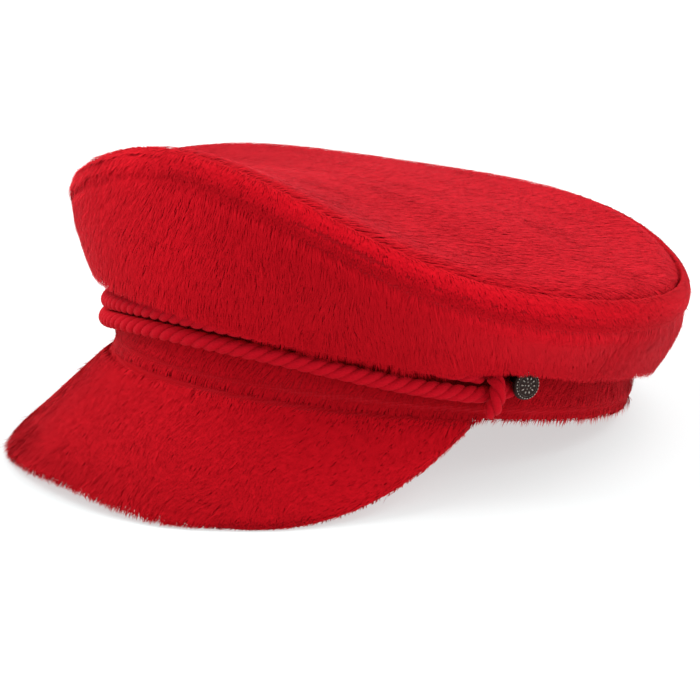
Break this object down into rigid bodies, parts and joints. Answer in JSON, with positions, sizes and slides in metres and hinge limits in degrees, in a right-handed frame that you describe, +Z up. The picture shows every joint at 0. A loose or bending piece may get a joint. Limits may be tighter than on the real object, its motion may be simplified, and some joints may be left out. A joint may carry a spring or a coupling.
{
  "type": "greek fisherman cap",
  "caption": "Soft peaked cap in furry cloth: floppy round crown over an upright band, curved peak, two twisted cords with keeper wraps and round side studs.",
  "frame": {"origin": "on the surface the cap rests on, under the middle of its bounding box", "axes": "+Z up, -Y towards the front of the cap, +X towards the wearer's left"},
  "size_m": [0.2256, 0.255, 0.117],
  "materials": {
    "band": "furry red cloth",
    "crown_side_front": "furry red cloth",
    "crown_side_back": "furry red cloth",
    "crown_top": "furry red cloth, combed flat",
    "peak": "stiffened furry red cloth",
    "cord_lower": "three-ply twisted cord",
    "cord_upper": "three-ply twisted cord",
    "cord_wrap_left": "twisted cord",
    "cord_wrap_right": "twisted cord",
    "stud_left": "antiqued silver",
    "stud_right": "antiqued silver"
  },
  "bodies": {
    "root": {"band": "band", "crown_side_front": "crown_side_front", "crown_side_back": "crown_side_back", "crown_top": "crown_top", "peak": "peak", "cord_lower": "cord_lower", "cord_upper": "cord_upper", "cord_wrap_left": "cord_wrap_left", "cord_wrap_right": "cord_wrap_right", "stud_left": "stud_left", "stud_right": "stud_right"}
  },
  "joints": []
}
